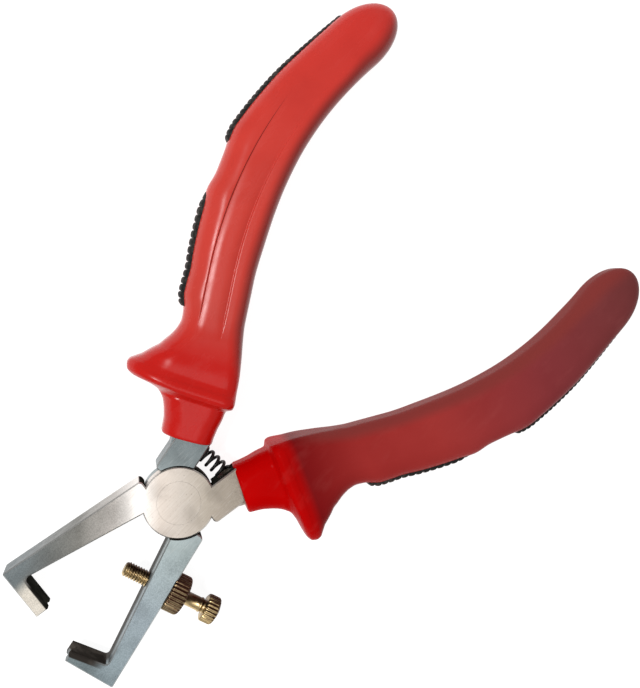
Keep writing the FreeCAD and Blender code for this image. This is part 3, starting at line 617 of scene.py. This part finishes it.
def grip_sleeve(side, material):
    """A moulded grip with its neck, finger guard, bent body, sunk panel and rounded end."""
    along, across, height = sleeve_rings()
    rings, count = across.shape
    faces = [tuple(range(count))]
    for index in range(rings - 1):
        faces += ring_faces((index + 1) * count, index * count, count)
    cap, cap_faces = round_end(across[-1], height[-1], (rings - 1) * count, rings * count)
    points = np.concatenate([on_handle(along, across, height), cap])
    piece = add_mesh(side + "_grip", place_on_handle(points, side), faces + cap_faces, material)
    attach(piece, side + "_half")
    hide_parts(side + "_grip_sleeve")


# The ribbed inserts: where a strip lies, its ribs, how far it stands out and where it thins

Insert = namedtuple("Insert", "low high ribs depth rise fade_from fade_to")

INSERTS = {
    "lower": Insert(
        low=30.8, high=57.2, ribs=15, depth=0.6, rise=1.15, fade_from=53.2, fade_to=58.2
    ),
    "upper": Insert(
        low=69.0, high=107.0, ribs=28, depth=0.6, rise=1.0, fade_from=71.0, fade_to=138.0
    ),
}
INSERT_HALF_WIDTH, INSERT_CROWN, INSERT_ROOT = 2.6, 0.8, 1.5
INSERT_LEAD_FROM, INSERT_LEAD_TO = -1.0, 1.2
RIB_FULLNESS, CROWN_FULLNESS = 2.6, 2.4
RIB_POINTS, STRIP_POINTS = 12, 17


def black_rubber():
    """Matt black rubber with some pale dust on it."""
    g = Graph("insert_rubber")
    grain = g.noise(scale=2600, detail=3, rough=0.6)
    dust = g.noise(scale=420, detail=4, rough=0.6)
    clean_rubber_lit_brass, dusty = (0.010, 0.009, 0.008), (0.060, 0.050, 0.043)
    g.set(base_color=g.mix(g.map_range(dust, 0.4, 0.75), clean_rubber_lit_brass, dusty))
    g.set(roughness=g.map_range(grain, 0.3, 0.7, 0.5, 0.75), specular_ior_level=0.2)
    g.bump(grain, strength=0.35, depth=0.12)
    return g.material


def strip_faces(rows, width):
    """The faces of a closed strip: its top, and an underside between its two long edges."""
    faces = []
    for row in range(rows - 1):
        for column in range(width - 1):
            corner = row * width + column
            faces.append((corner, corner + width, corner + width + 1, corner + 1))
        # At both ends of the strip the underside takes in the whole row, which closes it.
        near, far = (
            range(start * width, (start + 1) * width, 1 if start in (0, rows - 1) else width - 1)
            for start in (row, row + 1)
        )
        faces.append((*near, *reversed(far)))
    return faces


def grip_insert(side, part, material):
    """A strip of half-round ribs along the outer edge of a grip."""
    insert = INSERTS[part]
    shares = np.linspace(0, 1, insert.ribs * RIB_POINTS + 1)
    places = insert.low + (insert.high - insert.low) * shares
    groove = zigzag(shares * insert.ribs) ** RIB_FULLNESS
    dip = insert.depth * (1 - np.sqrt(np.clip(1 - groove, 0, 1)))
    ends = smooth_step(places, insert.low + INSERT_LEAD_FROM, insert.low + INSERT_LEAD_TO)
    ends = ends * (1 - smooth_step(places, insert.fade_from, insert.fade_to))
    sleeve = smooth_curve(OUTER, places)[:, None]
    turn = np.linspace(-1, 1, STRIP_POINTS)
    crown = INSERT_CROWN * np.abs(turn) ** CROWN_FULLNESS
    top = sleeve + ((insert.rise - dip) * ends)[:, None] - crown
    # Both long edges and both ends go down into the seat.
    top[:, [0, -1]] = sleeve - INSERT_ROOT
    top[[0, -1], :] = sleeve[[0, -1]] - INSERT_ROOT
    points = on_handle(places[:, None], top, INSERT_HALF_WIDTH * turn)
    faces = strip_faces(len(places), STRIP_POINTS)
    piece = add_mesh(side + "_" + part + "_ribs", place_on_handle(points, side), faces, material)
    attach(piece, side + "_half")
    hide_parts(side + "_" + part + "_grip_insert")


# The return spring

SPRING_Y, SPRING_RADIUS, SPRING_WIRE = 12.304, 2.15, 0.8
SPRING_END = 3.98
SPRING_TURNS = 4.0
TURN_POINTS, WIRE_POINTS = 40, 14


def black_wire():
    """Spring wire with a black oxide finish."""
    g = Graph("spring_wire")
    oxide = g.noise(scale=900, detail=3, rough=0.6)
    deep, worn = (0.008, 0.008, 0.009), (0.03, 0.028, 0.026)
    g.set(base_color=g.mix(oxide, deep, worn))
    g.set(metallic=0.7, roughness=g.map_range(oxide, 0.3, 0.7, 0.32, 0.5))
    g.bump(oxide, strength=0.15, depth=0.04)
    return g.material


def return_spring(material):
    """The coil between the tangs."""
    wire = SPRING_WIRE / 2
    coil = SPRING_RADIUS - wire
    travel = 2 * (SPRING_END - wire)
    climb = travel / (FULL_TURN * SPRING_TURNS)
    steps = int(SPRING_TURNS * TURN_POINTS)
    angles = np.linspace(0, FULL_TURN, WIRE_POINTS, endpoint=False)[:, None]
    rings = []
    for step in range(steps + 1):
        share = step / steps
        turn = FULL_TURN * SPRING_TURNS * share
        cos, sin = math.cos(turn), math.sin(turn)
        centre = np.array([travel * (share - 0.5), coil * cos, coil * sin])
        out = np.array([0.0, cos, sin])
        along = np.array([climb, -coil * sin, coil * cos])
        side = np.cross(along / np.linalg.norm(along), out)
        rings.append(centre + wire * (np.cos(angles) * out + np.sin(angles) * side))
    piece = turned_surface(rings, material, "spring_coil", lambda p: p + (0, SPRING_Y, MID_HEIGHT))
    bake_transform(piece)
    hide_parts("return_spring")


# The brass adjusting screw and lock nut, along X from the arm's outer face

SCREW_SEAT = np.array([13.411, -17.436, MID_HEIGHT])
SCREW_ANGLE = math.radians(15.107)

NUT_FROM, NUT_TO, NUT_RADIUS = 0.02, 4.47, 4.9
NUT_KNURLS, NUT_EDGE = 30, 0.8
HEAD_FROM, HEAD_TO, HEAD_RADIUS = 9.87, 13.17, 3.5
HEAD_KNURLS, HEAD_EDGE, HEAD_DOME = 22, 0.7, 0.6
DOME_SHARES = np.linspace(0.15, 0.9, 6)

# A knurl's depth, how steep its flanks are and how flat its ridges. It fades out over the
# rounded edges of a drum, and the gain gives it its full depth a little before their tops.
KNURL_DEPTH, KNURL_SLOPE, KNURL_FLAT = 0.34, 1.5, 0.35
KNURL_FADE_GAIN = 1.1
KNURL_POINTS, EDGE_STEPS = 6, 7

THREAD_RADIUS, THREAD_PITCH, THREAD_DEPTH = 1.95, 0.7, 0.36
THREAD_END, THREAD_RUN_OUT, THREAD_STEPS = NUT_TO + 0.4, 0.5, 10
TIP_AT, TIP_CHAMFER = -11.83, 0.6

# The neck, and the collar and undercut on it, as distances from the head and changes of radius.
NECK_FROM, NECK_RADIUS = THREAD_END + 0.1, 1.7
NECK_STEPS = ((-1.3, 0.0), (-1.2, 0.16), (-0.8, 0.16), (-0.7, -0.1), (-0.05, -0.1), (0.0, 0.2))

# The brass's lit and shaded tones, the side that gets the painted light, and how far a surface has to
# face it.
Brass = namedtuple("Brass", "light dark clean_from clean_to")

SCREW_BRASS = Brass(light=(0.66, 0.49, 0.25), dark=(0.07, 0.036, 0.020), clean_from=0.05, clean_to=0.7)
# The nut's tones are darker than the screw's: painted shade.
NUT_BRASS = Brass(light=(0.32, 0.235, 0.13), dark=(0.075, 0.033, 0.020), clean_from=0.2, clean_to=1.0)
LIT_SIDE = (-0.15, -0.8, 0.6)


def brass(name, look):
    """Turned brass with painted light and shade: lit bright on one side and dark brown on the other, in
    patches.
    """
    g = Graph(name)
    shade_patches = g.noise(scale=420, detail=4, rough=0.62)
    grain = g.noise(scale=2400, detail=3, rough=0.6)
    patchy = g.map_range(shade_patches, 0.3, 0.7, 0.25, -0.25)
    # Painted light: surfaces facing the lit side get the light tone, the rest painted shade, in patches.
    toward_light = g.math("ADD", g.facing(LIT_SIDE), patchy)
    clean_rubber_lit_brass = g.map_range(toward_light, look.clean_from, look.clean_to)
    g.set(base_color=g.mix(clean_rubber_lit_brass, look.dark, look.light), metallic=1.0)
    g.set(roughness=g.map_range(grain, 0.3, 0.7, 0.26, 0.42))
    g.bump(grain, strength=0.12, depth=0.05)
    return g.material


def place_on_screw(points):
    return turn_about_z(points, SCREW_ANGLE) + SCREW_SEAT


def circle_ring(at, radii, angles):
    return np.stack([np.full(len(angles), at), radii * np.cos(angles), radii * np.sin(angles)], 1)


def knurl(angles, count):
    """0 on the ridges of a straight knurl and 1 in its grooves."""
    return np.clip(zigzag(angles * count / FULL_TURN) * KNURL_SLOPE - KNURL_FLAT, 0, 1)


def knurled_rings(low, high, radius, angles, count, edge):
    """Rings over a knurled drum with rounded ends."""
    rings = []
    for turn in np.linspace(0, math.pi / 2, EDGE_STEPS):
        inset = edge * (1 - math.sin(turn))
        fade = min(1.0, math.sin(turn) * KNURL_FADE_GAIN)
        radii = radius - inset - KNURL_DEPTH * fade * knurl(angles, count)
        rings.append(circle_ring(low + edge * (1 - math.cos(turn)), radii, angles))
    return rings + [ring * (-1, 1, 1) + (low + high, 0, 0) for ring in reversed(rings)]


def thread_rings(angles):
    """Rings along the thread, from its chamfered tip to where it runs out past the nut."""
    step = THREAD_PITCH / THREAD_STEPS
    tip = THREAD_RADIUS - TIP_CHAMFER
    rings = [circle_ring(TIP_AT, tip, angles)]
    for at in np.arange(TIP_AT + step, THREAD_END, step):
        wave = zigzag(at / THREAD_PITCH - angles / FULL_TURN)
        depth = THREAD_DEPTH * min(1.0, (THREAD_END - at) / THREAD_RUN_OUT)
        radii = np.minimum(THREAD_RADIUS - depth * wave, tip + (at - TIP_AT))
        rings.append(circle_ring(at, radii, angles))
    return rings


def adjusting_screw(material):
    """The screw: thread, neck with a collar, and a knurled head with a low dome."""
    angles = np.linspace(0, FULL_TURN, HEAD_KNURLS * KNURL_POINTS, endpoint=False)
    rings = thread_rings(angles)
    rings.append(circle_ring(NECK_FROM, NECK_RADIUS, angles))
    for past_head, rise in NECK_STEPS:
        rings.append(circle_ring(HEAD_FROM + past_head, NECK_RADIUS + rise, angles))
    rings += knurled_rings(HEAD_FROM, HEAD_TO, HEAD_RADIUS, angles, HEAD_KNURLS, HEAD_EDGE)
    for share in DOME_SHARES:
        at = HEAD_TO + HEAD_DOME * (1 - (1 - share) ** 2)
        rings.append(circle_ring(at, (HEAD_RADIUS - HEAD_EDGE) * (1 - share), angles))
    piece = turned_surface(rings, material, "screw_brass_piece", place_on_screw)
    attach(piece, "screw")
    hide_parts("adjusting_screw")


def lock_nut(material):
    """The knurled nut, tight against the outer face of the arm."""
    angles = np.linspace(0, FULL_TURN, NUT_KNURLS * KNURL_POINTS, endpoint=False)
    rings = knurled_rings(NUT_FROM, NUT_TO, NUT_RADIUS, angles, NUT_KNURLS, NUT_EDGE)
    piece = turned_surface(rings, material, "nut_brass_piece", place_on_screw)
    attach(piece, "nut")
    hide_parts("lock_nut")


# The stage: a pale floor just under the tool, soft light from all round and two lamps

FLOOR_Z, FLOOR_REACH = -4.75, 1600.0
FLOOR_GLOW = 0.86
WORLD_STRENGTH = 0.38

Lamp = namedtuple("Lamp", "at towards size power")

LAMPS = {
    "key": Lamp(
        at=(-410.0, -190.0, 950.0), towards=(-20.0, 40.0, 0.0), size=220.0, power=5.0
    ),
    "overhead": Lamp(
        at=(160.0, -120.0, 950.0), towards=(0.0, 30.0, 0.0), size=700.0, power=1.7
    ),
}

# The camera, fitted to the photo.
CAMERA_AT = (-46.384, 30.999, 244.204)
CAMERA_TARGET = (-1.127, 50.952, 4.0)
CAMERA_UP = (-0.68905, 0.72134, -0.06991)
FOCAL_PIXELS = 1000.0
IMAGE_LONG_SIDE = 688.0
SENSOR = 36.0
NEAREST_SEEN = 10.0


def floor_paper():
    """White paper that is lit evenly."""
    g = Graph("floor_paper")
    fibre = g.noise(scale=40, detail=4, rough=0.5)
    shaded, pale = (0.34, 0.34, 0.34), (0.38, 0.38, 0.38)
    g.set(base_color=g.mix(fibre, shaded, pale), roughness=0.9)
    g.set(emission_color=WHITE, emission_strength=FLOOR_GLOW)
    return g.material


def add_floor():
    corners = ((-1, -1), (1, -1), (1, 1), (-1, 1))
    vertices = [(x * FLOOR_REACH, y * FLOOR_REACH, FLOOR_Z) for x, y in corners]
    floor = add_mesh("floor", vertices, [(0, 1, 2, 3)], floor_paper(), smooth=False)


def add_world():
    world = bpy.data.worlds.new("studio")
    world.use_nodes = True
    background = world.node_tree.nodes["Background"]
    background.inputs["Color"].default_value = WHITE
    background.inputs["Strength"].default_value = WORLD_STRENGTH
    bpy.context.scene.world = world


def add_lamp(name, lamp):
    data = bpy.data.lights.new(name, "AREA")
    data.shape = "DISK"
    data.size = lamp.size * MM
    data.energy = lamp.power
    light = bpy.data.objects.new(name, data)
    light.location = Vector(lamp.at) * MM
    aim = Vector(lamp.towards) - Vector(lamp.at)
    light.rotation_euler = aim.to_track_quat("-Z", "Y").to_euler()
    bpy.context.scene.collection.objects.link(light)


def add_camera():
    data = bpy.data.cameras.new("camera")
    data.sensor_width = SENSOR
    data.lens = FOCAL_PIXELS * SENSOR / IMAGE_LONG_SIDE
    data.clip_start = NEAREST_SEEN * MM
    camera = bpy.data.objects.new("camera", data)
    at = Vector(CAMERA_AT) * MM
    back = (at - Vector(CAMERA_TARGET) * MM).normalized()
    right = Vector(CAMERA_UP).cross(back).normalized()
    up = back.cross(right)
    turn = Matrix((right, up, back)).transposed().to_4x4()
    camera.matrix_world = Matrix.Translation(at) @ turn
    bpy.context.scene.collection.objects.link(camera)
    bpy.context.scene.camera = camera


# Building the tool and its stage

steels = {side: steel(look) for side, look in STEELS.items()}
dress(nodes["front_jaw_half"], steels["front"])
dress(nodes["pivot_rivet"], steels["front"])
dress(nodes["rear_jaw_half"], steels["rear"])

rubber = black_rubber()
for side in ("front", "rear"):
    for part in INSERTS:
        grip_insert(side, part, rubber)
for side, look in GRIPS.items():
    grip_sleeve(side, red_plastic(side + "_grip_plastic", look))

return_spring(black_wire())
adjusting_screw(brass("screw_brass_metal", SCREW_BRASS))
lock_nut(brass("nut_brass_metal", NUT_BRASS))

add_floor()
add_world()
for name, lamp in LAMPS.items():
    add_lamp(name, lamp)
add_camera()
bpy.context.scene.view_settings.view_transform = "Standard"
